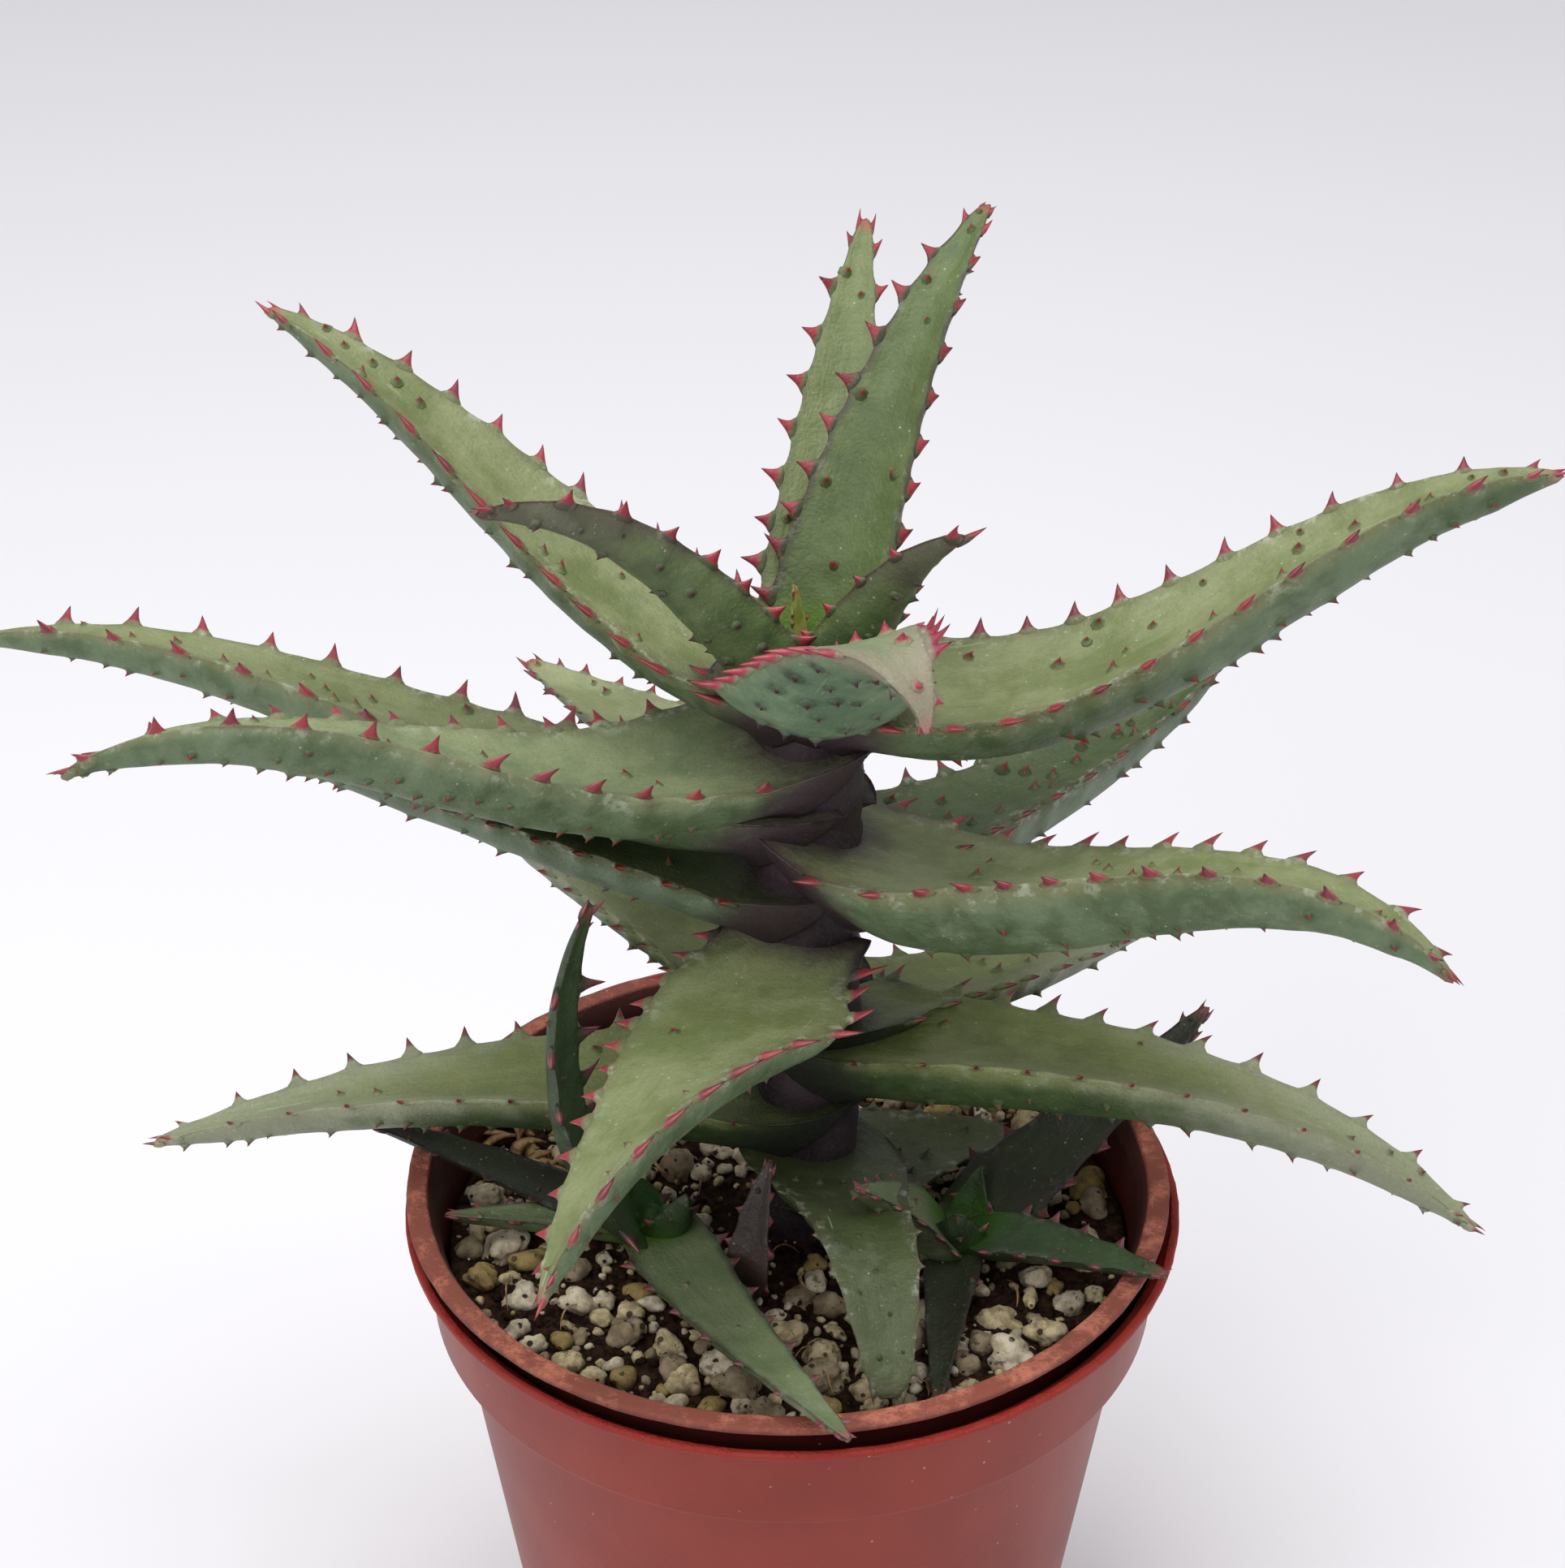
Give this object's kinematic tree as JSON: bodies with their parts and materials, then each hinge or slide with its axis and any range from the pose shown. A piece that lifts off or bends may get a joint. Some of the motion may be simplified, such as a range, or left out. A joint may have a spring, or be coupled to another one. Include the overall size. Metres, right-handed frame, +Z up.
{
  "type": "potted aloe hybrid",
  "caption": "Young hybrid aloe on an upright leafy stem with toothed tapering leaves and basal offsets, in gritty soil in a plastic nursery pot nested in another.",
  "frame": {"origin": "centre of the outer pot's flat underside", "axes": "+Z up through the pots; +X to the right and +Y away, seen from the side that the picture shows"},
  "size_m": [0.206, 0.1119, 0.2168],
  "materials": {
    "outer_pot": "glossy dark terracotta-red polypropylene, a little streaked below the collar",
    "inner_pot": "faded terracotta polypropylene with a rough pale moulding edge",
    "soil": "loose dark organic mix with cream and yellow pumice grit",
    "stem": "purplish brown stem sheathed by leaf bases, satin",
    "leaf": "grey-green waxy skin with red margin teeth and dark tubercles",
    "young_leaf": "fresh green young leaf skin, purple-brown below, red teeth",
    "offset": "dark green to purplish leaf skin with small pink teeth"
  },
  "bodies": {
    "root": {"pot_outer": "outer_pot", "pot_inner": "inner_pot", "soil": "soil", "stem": "stem", "leaf_01": "leaf", "leaf_02": "leaf", "leaf_03": "leaf", "leaf_04": "leaf", "leaf_05": "leaf", "leaf_06": "leaf", "leaf_07": "leaf", "leaf_08": "leaf", "leaf_09": "leaf", "leaf_10": "leaf", "leaf_11": "leaf", "leaf_12": "leaf", "leaf_13": "leaf", "leaf_14": "leaf", "leaf_15": "young_leaf", "leaf_16": "young_leaf", "leaf_17": "young_leaf", "leaf_18": "young_leaf", "leaf_19": "young_leaf", "leaf_20": "young_leaf", "offset_left": "offset", "offset_right": "offset", "shoot_middle": "offset"}
  },
  "joints": []
}
